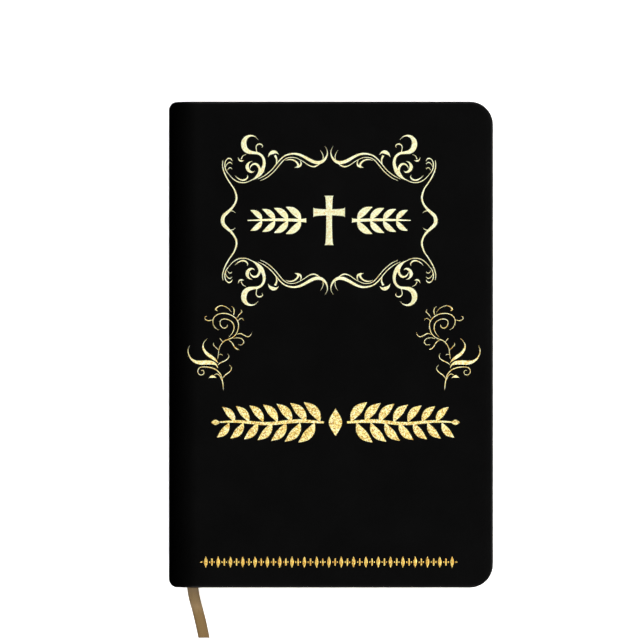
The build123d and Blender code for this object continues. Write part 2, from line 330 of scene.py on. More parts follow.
def satin_material():
    """Ribbon satin: fine cross ribs, a weft sheen, slightly darker selvedges and painted shade where it
    comes out from under the cover.
    """
    material, tree, shader = new_material("brown_gold_satin")
    uv = node(tree, "ShaderNodeTexCoord").outputs["UV"]
    split = node(tree, "ShaderNodeSeparateXYZ", {"Vector": uv})
    across, along = split.outputs["X"], split.outputs["Y"]
    ribs = node(tree, "ShaderNodeTexWave", {"Vector": uv, "Scale": 520.0, "Distortion": 0.6,
                "Detail": 1.0}, bands_direction="Y").outputs["Fac"]
    warp = noise(tree, node(tree, "ShaderNodeMapping", {"Vector": uv, "Scale": (90.0, 18.0, 1.0)})
                 .outputs["Vector"], 1.0, 3.0)
    edge = maths(tree, "ABSOLUTE", maths(tree, "SUBTRACT", across, 0.5))
    shade = maths(tree, "ADD", maths(tree, "MULTIPLY", warp, 0.6), maths(tree, "MULTIPLY", ribs, 0.25))
    shade = maths(tree, "SUBTRACT", shade, maths(tree, "MULTIPLY", maths(tree, "POWER", edge, 3.0), 1.6))
    colour = ramp(tree, shade, [(0.15, (0.12, 0.071, 0.026)), (0.45, (0.242, 0.153, 0.058)),
                                (0.75, (0.32, 0.212, 0.087))])
    # painted shade: the ribbon is darker where it comes out from under the cover's edge and a little
    # lighter towards its loose end
    towards_tail = node(tree, "ShaderNodeSeparateXYZ", {"Vector": place(tree)}).outputs["Y"]
    painted_exit_shade = node(tree, "ShaderNodeMapRange", {"Value": towards_tail, "From Min": -114 * MM,
                   "From Max": -125 * MM, "To Min": 0.46, "To Max": 1.07}).outputs["Result"]
    wear_and_painted_shade = node(tree, "ShaderNodeVectorMath", {0: colour, "Scale": painted_exit_shade}, operation="SCALE")
    tree.links.new(wear_and_painted_shade.outputs["Vector"], shader.inputs["Base Color"])
    tree.links.new(bump(tree, ribs, 0.3, 0.00005), shader.inputs["Normal"])
    tree.links.new(spread(tree, warp, 0.38, 0.5), shader.inputs["Roughness"])
    shader.inputs["Specular IOR Level"].default_value = 0.3
    shader.inputs["Sheen Weight"].default_value = 0.1
    shader.inputs["Sheen Roughness"].default_value = 0.4
    return material


def stripe_material():
    """Head and tail band cloth: slanting brown and cream threads."""
    material, tree, shader = new_material("striped_band_cloth")
    uv = node(tree, "ShaderNodeTexCoord").outputs["UV"]
    stripes = node(tree, "ShaderNodeTexWave", {"Vector": uv, "Scale": 26.0, "Distortion": 0.5,
                   "Detail": 1.0}, bands_direction="Y").outputs["Fac"]
    threads = node(tree, "ShaderNodeTexWave", {"Vector": uv, "Scale": 110.0, "Distortion": 0.3},
                   bands_direction="Y").outputs["Fac"]
    colour = ramp(tree, stripes, [(0.42, (0.2, 0.11, 0.045)), (0.55, (0.78, 0.68, 0.5))])
    tree.links.new(colour, shader.inputs["Base Color"])
    tree.links.new(bump(tree, threads, 0.5, 0.0001), shader.inputs["Normal"])
    tree.links.new(spread(tree, stripes, 0.6, 0.75), shader.inputs["Roughness"])
    return material


def woven_material(name, dark, light, scale):
    """Plain open weave for the hidden mull and the sewing thread."""
    material, tree, shader = new_material(name)
    where = place(tree)
    warp = node(tree, "ShaderNodeTexWave", {"Vector": where, "Scale": scale}, bands_direction="Y")
    weft = node(tree, "ShaderNodeTexWave", {"Vector": where, "Scale": scale}, bands_direction="Z")
    weave = maths(tree, "MULTIPLY", warp.outputs["Fac"], weft.outputs["Fac"])
    tree.links.new(ramp(tree, weave, [(0.2, dark), (0.8, light)]), shader.inputs["Base Color"])
    tree.links.new(bump(tree, weave, 0.5, 0.0001), shader.inputs["Normal"])
    shader.inputs["Roughness"].default_value = 0.9
    return material


def floor_material():
    """Light table: bright white, glowing a little more away from the book."""
    material, tree, shader = new_material("studio_floor")
    where = place(tree)
    tone = noise(tree, where, 3.0, 2.0)
    tree.links.new(ramp(tree, tone, [(0.2, (0.93, 0.93, 0.93)), (0.8, (0.95, 0.95, 0.95))]),
                   shader.inputs["Base Color"])
    reach = node(tree, "ShaderNodeVectorMath", {0: where}, operation="LENGTH").outputs["Value"]
    glow = node(tree, "ShaderNodeMapRange", {"Value": reach, "From Min": 0.6, "From Max": 1.5,
                "To Min": FLOOR_GLOW, "To Max": BACKDROP_GLOW}).outputs["Result"]
    tree.links.new(glow, shader.inputs["Emission Strength"])
    shader.inputs["Emission Color"].default_value = (1.0, 1.0, 1.0, 1.0)
    shader.inputs["Roughness"].default_value = 0.9
    shader.inputs["Specular IOR Level"].default_value = 0.1
    return material


leather = leather_material()
pressed = press_material()
pale_foil = foil_material(
    "pale_gold_foil",
    [(0.3, (0.84, 0.55, 0.2)), (0.4, (0.88, 0.82, 0.42)), (0.56, (0.9, 0.92, 0.58)),
     (0.72, (0.95, 0.97, 0.86))],
    0.35, (0.3, 0.5), 1100.0, 0.3, 2600.0,
)
vine_foil = foil_material(
    "vine_gold_foil",
    [(0.3, (0.76, 0.4, 0.06)), (0.4, (0.9, 0.7, 0.22)), (0.54, (0.96, 0.92, 0.45)),
     (0.72, (0.98, 0.98, 0.76))],
    0.3, (0.35, 0.55), 750.0, 0.4, 2300.0,
)
glitter_foil = foil_material(
    "glitter_gold_foil",
    [(0.14, (0.56, 0.28, 0.04)), (0.36, (0.82, 0.56, 0.12)), (0.6, (0.94, 0.82, 0.27)),
     (0.84, (0.96, 0.94, 0.62))],
    0.35, (0.35, 0.6), 1100.0, 0.85, 2300.0,
)
deep_foil = foil_material(
    "deep_gold_foil",
    [(0.25, (0.56, 0.25, 0.033)), (0.5, (0.84, 0.53, 0.1)), (0.8, (0.96, 0.84, 0.27))],
    0.4, (0.3, 0.5), 800.0, 0.45, 2300.0,
)
page_paper = paper_material("bible_paper", [(0.3, (0.715, 0.67, 0.565)), (0.7, (0.745, 0.705, 0.6))])
end_paper = paper_material("endpaper", [(0.3, (0.6, 0.53, 0.4)), (0.7, (0.64, 0.575, 0.445))])
board_paper = paper_material("liner_board", [(0.3, (0.35, 0.32, 0.28)), (0.7, (0.45, 0.42, 0.37))])
gilt = gilt_material()
satin = satin_material()
band_cloth = stripe_material()
gauze = woven_material("mull_gauze", (0.5, 0.48, 0.42), (0.88, 0.86, 0.8), 320.0)
linen = woven_material("linen_thread", (0.6, 0.56, 0.48), (0.9, 0.88, 0.8), 900.0)


# ---- camera: straight above the front cover ----
SEEN_WIDTH = 301.4 * MM
LENS = 400.0
SENSOR = 36.0
LOOK_AT = Vector((-5.0 * MM, 11.6 * MM, TOP))
camera_data = bpy.data.cameras.new("camera")
camera_data.lens = LENS
camera_data.sensor_width = SENSOR
camera_data.clip_start = 0.01
camera_data.clip_end = 50.0
camera = bpy.data.objects.new("camera", camera_data)
camera.location = LOOK_AT + Vector((0, 0, SEEN_WIDTH * LENS / SENSOR))
bpy.context.scene.collection.objects.link(camera)
bpy.context.scene.camera = camera


# ---- surfaces ----
def skin_z(x):
    """Height of the cover's outer face at x: flat, then rolling down over the spine."""
    share = max(min((CURVE_X - x) / SPINE_DEPTH, 1.0), 0.0)
    return MID + MID * math.sqrt(1 - share * share)


def fold_x(z):
    """X of a sheet's folded edge at height z."""
    share = min(abs(z - MID) / BLOCK_HALF_T, 1.0)
    return CURVE_X - BACK_DEPTH * math.sqrt(1 - share * share)


def cut_x(z):
    """X of a sheet's fore-edge at height z."""
    share = (z - MID) / BLOCK_HALF_T
    return BLOCK_RIGHT - FORE_HOLLOW * (1 - share * share)


def rows(half, corner, step, corner_steps=10):
    """Rows from tail to head: y, pull-in of the fore-edge end, and its outward angle."""
    straight = half - corner
    count = math.ceil(2 * straight / step)
    middle = [(-straight + 2 * straight * k / count, 0.0, 0.0) for k in range(count + 1)]
    turn = []
    for k in range(1, corner_steps + 1):
        angle = math.pi / 2 * k / corner_steps
        turn.append((straight + corner * math.sin(angle), corner * (1 - math.cos(angle)), angle))
    tail = [(-y, pull, -angle) for y, pull, angle in reversed(turn)]
    return tail + middle + turn


# ---- the leather: one sheet from mid-spine to each fore-edge, rolled over on three sides ----
def cover_profile(edge_x):
    """Outer face from mid-spine to the fore-edge: x, z and the outward normal."""
    arc_steps, flat_steps = 26, 40
    profile = []
    # a sliver beside the seam keeps the shading unbroken across it
    for k in [0, 0.05, *range(1, arc_steps + 1)]:
        angle = math.pi - math.pi / 2 * k / arc_steps
        x = CURVE_X + SPINE_DEPTH * math.cos(angle)
        normal = Vector((math.cos(angle) / SPINE_DEPTH, 0, math.sin(angle) / MID)).normalized()
        profile.append((x, MID + MID * math.sin(angle), normal))
    for k in range(1, flat_steps + 1):
        profile.append((CURVE_X + (edge_x - CURVE_X) * k / flat_steps, TOP, Vector((0, 0, 1))))
    return profile


def spine_end_drop(x, y):
    """How far the spine's rounded ends pull a point at x towards the middle."""
    depth = max(SPINE_R - (x - LEFT), 0.0)
    drop = SPINE_R - math.sqrt(SPINE_R**2 - depth**2)
    near_end = ease((abs(y) - (HALF_H - SPINE_END_REACH)) / (13 * MM))
    return math.copysign(drop * near_end, y)


def cover_sheet(name, mirrored):
    """Closed skin: outer face, rolled edge on three sides, inner face and a flat seam end."""
    edge_x = RIGHT - ROLL_R
    profile = cover_profile(edge_x)
    sheet_rows = rows(HALF_H - ROLL_R, COVER_R - ROLL_R, 5 * MM)
    width, tall = len(profile), len(sheet_rows)
    verts, normals = [], []
    for y, pull, _ in sheet_rows:
        for x, z, normal in profile:
            share = max(x - CURVE_X, 0.0) / (edge_x - CURVE_X)
            verts.append(Vector((x - pull * share, y - spine_end_drop(x, y), z)))
            normals.append(normal)
    faces = []
    for j in range(tall - 1):
        for i in range(width - 1):
            a = j * width + i
            faces.append((a, a + 1, a + width + 1, a + width))

    # the rim: along the head, down the fore-edge and back along the tail
    rim = [((tall - 1) * width + i, Vector((0, 1, 0))) for i in range(width - 1)]
    for j in range(tall - 1, -1, -1):
        angle = sheet_rows[j][2]
        rim.append((j * width + width - 1, Vector((math.cos(angle), math.sin(angle), 0))))
    rim += [(i, Vector((0, -1, 0))) for i in range(width - 2, -1, -1)]

    roll_steps = 8
    before = [index for index, _ in rim]
    head_end, tail_end = [], []
    for k in range(1, roll_steps + 1):
        angle = math.pi * k / roll_steps
        outward = ROLL_R * math.sin(angle)
        down = SKIN_T / 2 * (1 - math.cos(angle))
        ring = list(range(len(verts), len(verts) + len(rim)))
        for index, direction in rim:
            verts.append(verts[index] + direction * outward - normals[index] * down)
        for k_rim in range(len(rim) - 1):
            faces.append((before[k_rim], before[k_rim + 1], ring[k_rim + 1], ring[k_rim]))
        head_end.append(ring[0])
        tail_end.append(ring[-1])
        before = ring

    # inner face: it shares the last ring of the roll
    inner = {index: ring_index for (index, _), ring_index in zip(rim, before)}
    for index in range(width * tall):
        if index not in inner:
            inner[index] = len(verts)
            verts.append(verts[index] - normals[index] * SKIN_T)
    for j in range(tall - 1):
        for i in range(width - 1):
            a = j * width + i
            faces.append((inner[a + width], inner[a + width + 1], inner[a + 1], inner[a]))
    seam = [j * width for j in range(tall)]
    cap = seam + head_end + [inner[index] for index in reversed(seam[:-1])] + tail_end[-2::-1]
    faces.append(tuple(cap))

    if mirrored:
        verts = [(v[0], v[1], 2 * MID - v[2]) for v in verts]
    sheet = mesh_object(name, verts, faces, [leather], tidy=True)
    sharpen(sheet, 60)
    return sheet


front_sheet = cover_sheet("front_leather_sheet", False)
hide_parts("front_cover_leather", "spine_leather")
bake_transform(front_sheet)
back_sheet = cover_sheet("back_leather_sheet", True)
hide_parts("back_cover_leather")
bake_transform(back_sheet)


# ---- endpapers: pasted inside the covers and folded down into the gutter ----
def pastedown_sheet(name, mirrored):
    """Thin sheet under the cover that follows the rounded back into the joint."""
    drop = SKIN_T + PASTEDOWN_GAP
    z_flat = TOP - drop
    profile = []
    curve_steps = 8
    for k in range(curve_steps + 1):
        angle = math.radians(PASTEDOWN_FROM + (90 - PASTEDOWN_FROM) * k / curve_steps)
        outer = Vector((CURVE_X + SPINE_DEPTH * math.cos(angle), 0, MID + MID * math.sin(angle)))
        normal = Vector((math.cos(angle) / SPINE_DEPTH, 0, math.sin(angle) / MID)).normalized()
        point = outer - normal * (drop + PASTEDOWN_SINK * (curve_steps - k) / curve_steps)
        profile.append((point.x, point.z))
    flat_steps = 24
    right = RIGHT - PASTEDOWN_INSET
    sheet_rows = rows(HALF_H - PASTEDOWN_INSET, COVER_R - PASTEDOWN_INSET, 8 * MM)
    verts = []
    for level in (0.0, PASTEDOWN_T):
        for y, pull, _ in sheet_rows:
            verts += [(x, y, z - level) for x, z in profile]
            for k in range(1, flat_steps + 1):
                x = CURVE_X + (right - pull - CURVE_X) * k / flat_steps
                verts.append((x, y, z_flat - level))
    width = len(profile) + flat_steps
    under = width * len(sheet_rows)
    faces = []
    for j in range(len(sheet_rows) - 1):
        for i in range(width - 1):
            a = j * width + i
            faces.append((a, a + 1, a + width + 1, a + width))
            b = a + under
            faces.append((b + width, b + width + 1, b + 1, b))
    loop = border(width, len(sheet_rows))
    for a, b in zip(loop, loop[1:] + loop[:1]):
        faces.append((b, a, a + under, b + under))
    if mirrored:
        verts = [(x, y, 2 * MID - z) for x, y, z in verts]
    return mesh_object(name, verts, faces, [end_paper], tidy=True)


for side, mirrored in (("front", False), ("back", True)):
    pasted = pastedown_sheet(f"{side}_endpaper_sheet", mirrored)
    sharpen(pasted, 40)
    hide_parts(f"{side}_pastedown")
    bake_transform(pasted)


# ---- pages ----
def page_grid(name, z_low, z_high, left, steps_x, layers, materials, seed):
    """Closed stack of pages: gridded faces, and walls with a groove between its layers."""
    rng = random.Random(seed)
    page_rows = rows(HALF_PAGE, PAGE_R, 8 * MM, 8)
    levels = [z_low + (z_high - z_low) * k / (2 * layers) for k in range(2 * layers + 1)]
    grooves = []
    for k in range(len(levels)):
        scatter = rng.uniform(-PAGE_SCATTER, PAGE_SCATTER) if k % 2 else PAGE_GROOVE
        grooves.append(scatter)

    def row_points(level, y, pull):
        """Points of one row at one level, from the fold to the fore-edge."""
        z = levels[level]
        right = cut_x(z) - pull - grooves[level]
        return [(left(z) + (right - left(z)) * t, y, z) for t in steps_x]

    verts, faces, slots = [], [], []
    width = len(steps_x)
    tall = len(page_rows)
    for level in (len(levels) - 1, 0):
        for y, pull, _ in page_rows:
            verts += row_points(level, y, pull)
    under = width * tall
    for j in range(tall - 1):
        for i in range(width - 1):
            a = j * width + i
            faces.append((a, a + 1, a + width + 1, a + width))
            faces.append((a + under + width, a + under + width + 1, a + under + 1, a + under))
            slots += [0, 0]

    top_loop, bottom_loop = border(width, tall), border(width, tall, under)
    fold_from = len(top_loop) - (tall - 2)
    previous = bottom_loop
    for level in range(1, len(levels)):
        if level == len(levels) - 1:
            ring = top_loop
        else:
            start = len(verts)
            for bottom, top in zip(bottom_loop, top_loop):
                low, high = Vector(verts[bottom]), Vector(verts[top])
                share = level / (len(levels) - 1)
                point = low.lerp(high, share)
                out = grooves[0] - grooves[level]
                end = abs(point.y) > HALF_PAGE - PAGE_R
                reach = Vector((point.x - (BLOCK_RIGHT - PAGE_R), abs(point.y) - (HALF_PAGE - PAGE_R)))
                if end and reach.x > 0 and reach.length > 0:
                    point.x += out * reach.x / reach.length
                    point.y += math.copysign(out * reach.y / reach.length, point.y)
                elif abs(point.y) > HALF_PAGE - 0.01 * MM:
                    point.y += math.copysign(out, point.y)
                elif point.x > 0:
                    point.x += out
                verts.append(point)
            ring = list(range(start, start + len(top_loop)))
        for k in range(len(ring)):
            n = (k + 1) % len(ring)
            faces.append((previous[k], previous[n], ring[n], ring[k]))
            slots.append(0 if k >= fold_from - 1 else 1)
        previous = ring
    return mesh_object(name, verts, faces, materials, slots, smooth=False, tidy=True)


STATIC_STEPS = [0.0, 0.01, 0.3, 0.6, 0.9, 1.0]
for number in range(1, 23):
    signature = f"signature_{number:02d}"
    low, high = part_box(signature)
    stack = page_grid(f"pages_{number:02d}", low.z, high.z, fold_x, STATIC_STEPS, 4,
                      [page_paper, gilt], number)
    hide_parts(signature)
    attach(stack, "text_block")
# pages that close the gap beside the ribbon, from its inner edge to the fore-edge
RIBBON_SIDE = -62 * MM
low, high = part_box("signature_06")[1].z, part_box("signature_07")[0].z
beside = page_grid("pages_beside_ribbon", low, high, lambda z: RIBBON_SIDE, STATIC_STEPS, 2,
                   [page_paper, gilt], 60)
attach(beside, "text_block")

low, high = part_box("back_flyleaf")
back_leaf = page_grid("back_flyleaf_sheet", low.z, high.z, fold_x, STATIC_STEPS, 1,
                      [end_paper, gilt], 90)
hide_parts("back_flyleaf")
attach(back_leaf, "text_block")

# the leaves that turn: close steps in the gutter, where each one bends
TURN_STEPS = [0.0, 0.01, 0.02, 0.03, 0.04, 0.05, 0.06, 0.07, 0.08, 0.09, 0.1, 0.11, 0.12, 0.14, 0.17]
TURN_STEPS += [0.25, 0.4, 0.55, 0.7, 0.85, 0.93, 1.0]
turning = [("front_flyleaf", "flyleaf", 1), ("title_leaf", "title_page", 1)]
turning += [(f"opening_leaves_{n}", f"leaves_{n}", 2) for n in range(1, 9)]
for order, (cad_node, body, layers) in enumerate(turning):
    low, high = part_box(cad_node)
    face = end_paper if cad_node == "front_flyleaf" else page_paper
    leaf = page_grid(f"{cad_node}_sheet", low.z, high.z, fold_x, TURN_STEPS, layers,
                     [face, gilt], 40 + order)
    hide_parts(cad_node)
    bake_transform(leaf)


# ---- ribbon marker ----
RIBBON_W = 5.4 * MM
RIBBON_T = 0.22 * MM
SATIN_REPEAT = 0.1
ribbon_route = [
    (-67.0, 110.2, 17.0),
    (-67.0, 113.6, 16.4),
    (-67.0, 113.9, 9.6),
    (-67.0, 111.4, 9.0),
    (-67.3, 104.0, 9.0),
    (-67.9, 86.0, 9.0),
    (-68.0, 46.0, 9.0),
    (-66.6, -8.0, 9.0),
    (-66.8, -60.0, 9.0),
    (-65.9, -88.0, 9.0),
    (-65.8, -100.0, 9.0),
    (-65.6, -112.0, 9.0),
    (-65.2, -117.2, 6.6),
    (-64.4, -121.6, 2.8),
    (-63.1, -126.4, 0.4),
    (-61.7, -131.8, 0.3),
    (-60.1, -139.5, 0.3),
]


def nurbs_points(route, resolution):
    """Points along the smooth line that has the route as its control points."""
    curve = bpy.data.curves.new("route", "CURVE")
    curve.dimensions = "3D"
    spline = curve.splines.new("NURBS")
    spline.points.add(len(route) - 1)
    for point, place_mm in zip(spline.points, route):
        point.co = (*[c * MM for c in place_mm], 1)
    spline.order_u = 3
    spline.use_endpoint_u = True
    spline.resolution_u = resolution
    holder = bpy.data.objects.new("route", curve)
    bpy.context.scene.collection.objects.link(holder)
    bpy.context.view_layer.update()
    line = bpy.data.meshes.new_from_object(holder)
    points = [line.vertices[0].co.copy()]
    for vertex in line.vertices:
        if (vertex.co - points[-1]).length > 0.2 * MM:
            points.append(vertex.co.copy())
    bpy.data.objects.remove(holder)
    bpy.data.meshes.remove(line)
    return points


def ribbon_piece():
    """Flat woven strip along the route, with thin rounded selvedges and a straight cut end."""
    points = nurbs_points(ribbon_route, 10)
    half, thick = RIBBON_W / 2, RIBBON_T / 2
    ring_shape = [(-1.0, 0.0), (-0.94, 1.0), (-0.5, 0.8), (0.0, 0.75), (0.5, 0.8), (0.94, 1.0),
                  (1.0, 0.0), (0.94, -1.0), (0.5, -0.8), (0.0, -0.75), (-0.5, -0.8), (-0.94, -1.0)]
    verts, uvs = [], []
    travelled = 0.0
    across = Vector((1, 0, 0))
    for k, point in enumerate(points):
        if k:
            travelled += (point - points[k - 1]).length
        ahead = (points[min(k + 1, len(points) - 1)] - points[max(k - 1, 0)]).normalized()
        up = across.cross(ahead).normalized()
        for a, b in ring_shape:
            verts.append(point + across * a * half + up * b * thick)
            uvs.append(((a + 1) / 2, travelled / SATIN_REPEAT))
    faces = tube_faces(0, len(points), len(ring_shape))
    made = mesh_object("ribbon_marker_satin", verts, faces, [satin], tidy=True)
    set_uvs(made, uvs)
    sharpen(made, 60)
    return made, points


ribbon, ribbon_points = ribbon_piece()
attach(ribbon, "text_block")
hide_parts("ribbon_marker")


# ---- head and tail bands ----
def band_piece(name, cad_node, outward):
    """Corded band that follows the rounded back, wound with slanting threads."""
    y = outward * (HALF_PAGE + BAND_R)
    steps, around = 90, 12
    along = Vector((0, outward, 0))
    verts, uvs = [], []
    for k in range(steps + 1):
        angle = math.radians(BAND_FROM + BAND_SWEEP * k / steps)
        centre = Vector((CURVE_X + (SPINE_DEPTH - BAND_INSET) * math.cos(angle), y,
                         MID + (MID - BAND_INSET) * math.sin(angle)))
        out = Vector((math.cos(angle), 0, math.sin(angle)))
        swell = BAND_R * (1 + 0.05 * math.sin(k * 2.1))
        for n in range(around):
            turn = 2 * math.pi * n / around
            verts.append(centre + (out * math.cos(turn) + along * math.sin(turn)) * swell)
            uvs.append((n / around, k / steps + 0.018 * n / around))
    faces = tube_faces(0, steps + 1, around)
    made = mesh_object(name, verts, faces, [band_cloth], tidy=True)
    set_uvs(made, uvs)
    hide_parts(cad_node)
    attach(made, "text_block")


band_piece("headband_cord", "headband", 1)
band_piece("tailband_cord", "tailband", -1)


# ---- gold foil ----
def smooth(points, steps=7):
    """Smooth line through points of (x, y, width), with steps stretches between each two."""
    padded = [points[0], *points, points[-1]]
    line = []
    for n in range(1, len(padded) - 2):
        before, start, end, after = (np.array(padded[n + k], float) for k in (-1, 0, 1, 2))
        for k in range(steps):
            t = k / steps
            line.append(0.5 * (2 * start + (end - before) * t
                               + (2 * before - 5 * start + 4 * end - after) * t**2
                               + (3 * start - before - 3 * end + after) * t**3))
    line.append(np.array(points[-1], float))
    return line


def curl(x, y, radius, end_radius, start, sweep, width, end_width, steps=7):
    """Spiral line of (x, y, width) about a centre, angles in degrees."""
    line = []
    for k in range(steps + 1):
        t = k / steps
        angle = math.radians(start + sweep * t)
        reach = radius + (end_radius - radius) * t
        line.append((x + reach * math.cos(angle), y + reach * math.sin(angle),
                     width + (end_width - width) * t))
    return line


RING = [(-0.5, 0.0), (-0.42, 0.75), (-0.2, 1.0), (0.2, 1.0), (0.42, 0.75), (0.5, 0.0)]


def stamped(name, strokes, centre, flips, height, pen, grow, material):
    """One mesh of strokes of (x, y, width) in millimetres, laid on the cover's outer face.

    The pen is a factor for the widths and a power that sets broad strokes off from fine ones.
    """
    slim, contrast = pen
    verts, faces = [], []
    for number, stroke in enumerate(strokes):
        line = smooth(stroke)
        rise = height * (1 + 0.05 * (number % 5))
        for flip_x, flip_y in flips:
            start = len(verts)
            for k, (x, y, width) in enumerate(line):
                ahead = line[min(k + 1, len(line) - 1)] - line[max(k - 1, 0)]
                length = max(math.hypot(ahead[0], ahead[1]), 1e-9)
                side_x, side_y = -ahead[1] / length, ahead[0] / length
                wide = max(slim * width**contrast, 0.1) + grow
                for across, up in RING:
                    px = centre[0] + flip_x * (x + side_x * across * wide)
                    py = centre[1] + flip_y * (y + side_y * across * wide)
                    verts.append((px * MM, py * MM, skin_z(px * MM) + up * rise))
            faces += tube_faces(start, len(line), len(RING))
    return mesh_object(name, verts, faces, [material], tidy=True)


side_line = [
    (50.0, 28.2, 0.3), (50.2, 25.6, 0.5), (49.6, 23.2, 0.6), (48.6, 20.8, 0.7), (46.8, 17.8, 0.7),
    (44.8, 14.8, 0.8), (43.8, 12.0, 1.0), (43.7, 10.0, 1.0), (44.5, 7.7, 1.1), (46.0, 5.6, 1.3),
    (47.9, 3.8, 1.7), (49.6, 2.1, 2.0), (50.2, 0.0, 2.1),
]
side_strokes = [side_line + [(x, -y, width) for x, y, width in reversed(side_line[:-1])]]
spike_strokes = [[(46.6, 4.6, 0.5), (45.2, 4.3, 0.4), (44.1, 3.5, 0.15)]]

frame_strokes = [
    # bold corner scroll
    [(33.4, 38.0, 0.15), (34.8, 39.4, 0.6), (36.7, 39.9, 1.1), (38.6, 39.3, 1.9), (39.9, 37.7, 2.7),
     (40.2, 35.8, 3.1), (39.6, 33.8, 3.0), (38.0, 32.4, 2.5), (35.8, 31.9, 1.8), (33.6, 31.6, 1.6),
     (31.9, 30.6, 1.6), (30.9, 29.0, 1.7), (30.6, 27.0, 1.9), (31.0, 25.0, 2.1), (31.9, 22.9, 2.4),
     (33.5, 21.0, 2.0), (35.3, 19.6, 1.0), (37.3, 18.7, 0.3)],
    # crescent bud inside it, on its own curled stem
    [(36.2, 27.9, 0.15), (37.7, 27.2, 1.1), (38.6, 25.6, 2.0), (38.2, 23.9, 2.0), (37.0, 22.9, 1.5),
     (35.8, 22.8, 0.8), (35.1, 23.5, 0.15)],
    [(37.4, 24.2, 0.2), (36.9, 25.5, 0.8), (35.7, 26.5, 1.2), (34.2, 26.4, 1.5), (33.1, 25.2, 1.6),
     (32.7, 23.5, 1.7), (33.3, 21.8, 1.7), (35.0, 20.0, 0.6)],
    # small hooks around the scroll
    [(34.0, 32.2, 0.6), (34.4, 34.5, 0.7), (33.6, 35.8, 0.9), (32.2, 35.9, 0.9), (31.3, 35.1, 0.6),
     (31.7, 34.2, 0.2)],
    [(39.2, 31.1, 0.3), (40.7, 30.3, 0.6), (41.4, 28.8, 0.8)],
    [(42.9, 29.7, 0.2), (42.4, 28.5, 0.9), (41.4, 28.0, 1.2), (40.1, 28.2, 0.2)],
    # fan of three hooks at the side
    [(47.8, 22.2, 0.4), (48.8, 24.2, 0.8), (49.1, 26.4, 0.8), (48.6, 28.2, 0.7), (47.4, 29.2, 0.8),
     (46.2, 28.9, 0.8), (45.6, 27.9, 0.3)],
    [(48.8, 25.2, 0.3), (47.8, 26.8, 0.6), (46.6, 27.3, 0.8), (45.6, 26.5, 0.3)],
    [(47.9, 23.6, 0.3), (47.1, 24.7, 0.6), (46.2, 24.7, 0.7), (45.7, 24.1, 0.25)],
    # arcs under the scroll
    [(48.3, 23.2, 0.4), (46.7, 21.1, 0.5), (44.9, 19.3, 0.65), (42.7, 18.1, 0.8), (40.1, 17.8, 0.7),
     (38.2, 18.2, 0.6), (36.0, 19.2, 0.4)],
    [(44.4, 21.2, 0.15), (42.9, 19.8, 0.7), (41.1, 19.0, 1.0), (39.5, 19.2, 1.1), (38.4, 20.3, 0.9),
     (38.6, 21.5, 0.15)],
    # wave to the middle of the top, with its two up-curled tips
    [(33.5, 19.5, 0.3), (30.4, 21.1, 0.6), (27.2, 23.7, 0.7), (24.7, 26.7, 0.8), (22.7, 29.0, 0.9),
     (20.3, 30.7, 1.0), (17.0, 31.4, 1.2), (14.1, 31.0, 1.5), (11.7, 29.9, 1.7), (9.4, 28.6, 1.9),
     (7.3, 27.6, 2.0), (5.4, 27.2, 2.0), (3.7, 27.5, 1.9), (2.1, 28.7, 1.6), (1.1, 30.4, 1.1),
     (0.8, 32.2, 0.7), (1.2, 33.7, 0.4), (2.0, 35.0, 0.15)],
    [(2.9, 28.8, 0.6), (2.8, 30.3, 0.6), (3.3, 31.7, 0.45), (4.1, 33.0, 0.15)],
    # thin second line under the wave
    [(32.4, 18.7, 0.3), (29.2, 20.3, 0.6), (25.9, 23.1, 0.6), (23.2, 26.3, 0.7), (21.4, 28.3, 0.7),
     (19.6, 29.4, 0.6), (17.5, 29.7, 0.55), (15.5, 29.4, 0.5), (13.8, 28.6, 0.5), (12.0, 27.6, 0.6),
     (10.3, 26.4, 0.7), (8.8, 25.6, 0.8), (7.2, 25.3, 0.9), (5.7, 25.8, 0.9), (4.2, 26.8, 0.4)],
    # bud above the wave
    [(25.0, 26.4, 0.5), (24.7, 28.6, 1.1), (25.5, 30.6, 1.5)],
    [(28.8, 29.8, 0.15), (28.0, 31.2, 1.5), (26.6, 32.1, 2.2), (25.0, 32.1, 1.5), (23.7, 31.0, 0.15)],
    # hooked leaf below the wave
    [(20.6, 28.2, 0.2), (18.6, 28.7, 0.8), (16.8, 28.4, 1.0), (15.3, 27.4, 1.2), (14.6, 26.2, 1.4),
     (14.9, 25.3, 1.2), (16.3, 24.9, 0.2)],
    [(13.7, 28.3, 0.3), (13.2, 27.0, 0.9), (13.6, 25.8, 1.4), (15.0, 25.0, 1.0)],
]

